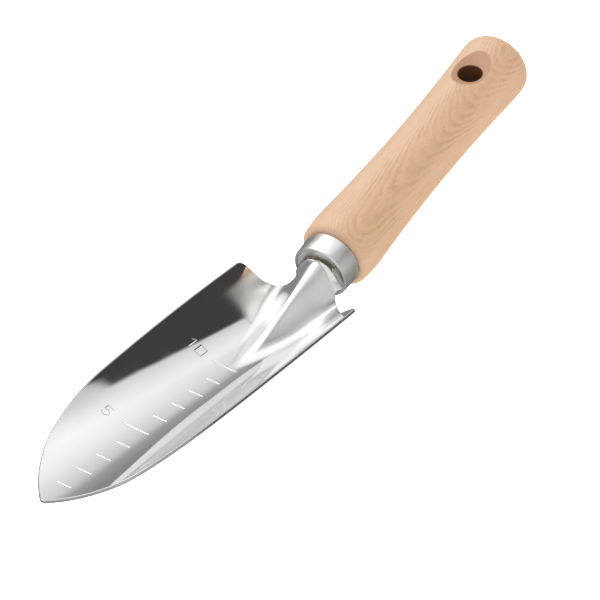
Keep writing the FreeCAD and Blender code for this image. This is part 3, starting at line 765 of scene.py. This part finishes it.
def dress_cad_nodes():
    """Give the CAD nodes that stay their finished materials."""
    looks = {"handle": (beech(), "beech"), "tang_bedding": (cured_resin(), "resin")}
    for node, (material, slot) in looks.items():
        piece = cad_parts[node]
        piece.data.materials.clear()
        piece.data.materials.append(material)


# ---------------------------------------------------------------- studio


def glow(graph, elevation, stops):
    """Brightness of one side of the studio by its height over the horizon."""
    share = graph.add("ShaderNodeMapRange", {0: elevation, 1: GLOW_LOW, 2: GLOW_HIGH}).outputs[0]
    return graph.ramp(share, [(place, (level, level, level, 1.0)) for place, level in stops])


def side_glows(graph, azimuth, elevation):
    """White studio whose sides differ a little, so that the steel has something to mirror."""
    radiance = glow(graph, elevation, RIB_GLOW)
    radiance = graph.mix(graph.blend(azimuth, 34.0, 42.0), radiance, glow(graph, elevation, NEAR_GLOW))
    radiance = graph.mix(graph.blend(azimuth, 50.0, 68.0), radiance, glow(graph, elevation, FAR_GLOW))
    radiance = graph.mix(graph.blend(azimuth, -10.0, 15.0), glow(graph, elevation, LEFT_GLOW), radiance)
    return graph.mix(graph.blend(azimuth, -105.0, -80.0), glow(graph, elevation, REAR_GLOW), radiance)


def dark_panel(graph, azimuth, elevation):
    """Mask of a dark panel that stands low on one side, with a top that dips in the middle."""
    run = graph.math("SUBTRACT", azimuth, PANEL_DIP_AZIMUTH)
    slopes = [graph.math("MULTIPLY", run, slope) for slope in (PANEL_RISE, PANEL_FALL)]
    top = graph.math("ADD", graph.math("MAXIMUM", *slopes), PANEL_DIP_ELEVATION)
    mask = graph.blend(graph.math("SUBTRACT", top, elevation), 0.0, 0.6)
    mask = graph.math("MULTIPLY", mask, graph.blend(azimuth, 60.0, 62.0, 1.0, 0.0))
    mask = graph.math("MULTIPLY", mask, graph.blend(azimuth, 36.0, 44.0))
    return graph.math("MULTIPLY", mask, graph.blend(elevation, -14.0, -6.0))


def make_world():
    """White studio with one dark panel, which the polished wing of the blade mirrors."""
    world = bpy.data.worlds.new("studio")
    bpy.context.scene.world = world
    world.use_nodes = True
    graph = Graph(world.node_tree)
    direction = graph.add("ShaderNodeTexCoord").outputs["Generated"]
    x, y, z = graph.parts(direction)[:3]
    azimuth = graph.math("DEGREES", graph.math("ARCTAN2", x, graph.math("MULTIPLY", y, -1.0)))
    elevation = graph.math("DEGREES", graph.math("ARCSINE", z))
    radiance = side_glows(graph, azimuth, elevation)
    radiance = graph.mix(dark_panel(graph, azimuth, elevation), radiance, PANEL_COLOR)
    rays = graph.add("ShaderNodeLightPath").outputs
    radiance = graph.mix(rays["Is Camera Ray"], radiance, (1.0, 1.0, 1.0, 1.0))
    background = graph.add("ShaderNodeBackground", {"Color": radiance, "Strength": 1.0})
    graph.add("ShaderNodeOutputWorld", {"Surface": background.outputs[0]})


def make_floor():
    """Plain pale floor, wide enough for every view."""
    reach, height = FLOOR_REACH, FLOOR_Z - FLOOR_GAP
    corners = [(-reach, -reach), (reach, -reach), (reach, reach), (-reach, reach)]
    mesh = bpy.data.meshes.new("floor")
    mesh.from_pydata([(x, y, height) for x, y in corners], [], [(0, 1, 2, 3)])
    floor = bpy.data.objects.new("floor", mesh)
    bpy.context.scene.collection.objects.link(floor)
    material, graph, place = new_material("pale_floor")
    grain = graph.noise(place, 0.5, 2.0)
    color = graph.mix(grain, (0.93, 0.93, 0.93, 1), (0.95, 0.95, 0.95, 1))
    inputs = {"Base Color": color, "Roughness": 0.9, "Emission Color": color}
    inputs["Emission Strength"] = 1.0
    finish_material(graph, inputs)
    mesh.materials.append(material)
    floor.visible_glossy = False


def view_back(azimuth, elevation):
    """Unit vector from the part towards a viewer at an azimuth and elevation in degrees."""
    a, e = math.radians(azimuth), math.radians(elevation)
    return Vector((math.sin(a) * math.cos(e), -math.cos(a) * math.cos(e), math.sin(e)))


def make_key_light():
    """Soft square light from behind on the right, turned to the middle of the part."""
    lamp = bpy.data.lights.new("key", "AREA")
    lamp.shape = "SQUARE"
    lamp.size = KEY_SIZE
    lamp.energy = KEY_WATTS
    light = bpy.data.objects.new("key", lamp)
    bpy.context.scene.collection.objects.link(light)
    back = view_back(KEY_AZIMUTH, KEY_ELEVATION)
    light.location = (CAD_BOX[0] + CAD_BOX[1]) / 2 + back * KEY_DISTANCE
    light.rotation_mode = "QUATERNION"
    light.rotation_quaternion = back.to_track_quat("Z", "Y")


def make_camera():
    """Long lens from the front left, above the hollow side, tilted a little."""
    data = bpy.data.cameras.new("camera")
    data.lens = CAMERA_LENS
    data.sensor_width = 36.0
    data.clip_start, data.clip_end = 0.01, 30.0
    camera = bpy.data.objects.new("camera", data)
    bpy.context.scene.collection.objects.link(camera)
    back = view_back(CAMERA_AZIMUTH, CAMERA_ELEVATION)
    aim = Vector(CAMERA_AIM) * MM + Vector((MOUTH_X, 0.0, 0.0))
    camera.location = aim + back * CAMERA_DISTANCE
    level = (-back).to_track_quat("-Z", "Y")
    roll = Quaternion((0.0, 0.0, 1.0), math.radians(CAMERA_ROLL))
    camera.rotation_mode = "QUATERNION"
    camera.rotation_quaternion = level @ roll
    bpy.context.scene.camera = camera


make_blade()
make_ferrule()
dress_cad_nodes()
make_world()
make_floor()
make_key_light()
make_camera()
bpy.context.scene.view_settings.view_transform = "Standard"
